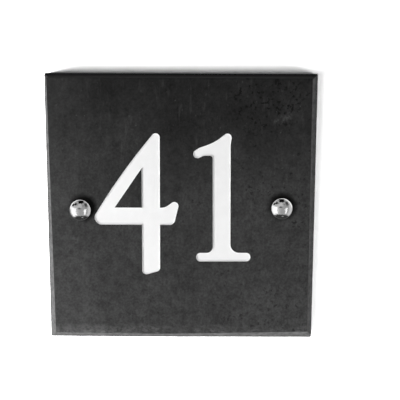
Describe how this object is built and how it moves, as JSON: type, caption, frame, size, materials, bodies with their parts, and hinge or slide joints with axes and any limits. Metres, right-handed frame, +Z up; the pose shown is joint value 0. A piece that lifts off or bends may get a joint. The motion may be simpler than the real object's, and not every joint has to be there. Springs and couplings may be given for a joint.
{
  "type": "slate house number plaque",
  "caption": "Square slate house number with ground bevels, routed and painted digits, and two wall screws under polished domed caps.",
  "frame": {"origin": "centre of the slate's back face, which lies on the wall", "axes": "+Z up and +X to the right as the digits are read; the digits face -Y and the screws go into the wall along +Y"},
  "size_m": [0.15, 0.0418, 0.15],
  "materials": {
    "slate": "honed, dark grey natural slate",
    "white_paint": "white enamel paint, satin",
    "screw_steel": "bright zinc plated",
    "cap_chrome": "polished chrome plate"
  },
  "bodies": {
    "root": {"slate_plaque": "slate", "numeral_4_paint": "white_paint", "numeral_1_paint": "white_paint", "left_screw": "screw_steel", "right_screw": "screw_steel", "left_dome_cap": "cap_chrome", "right_dome_cap": "cap_chrome"}
  },
  "joints": []
}
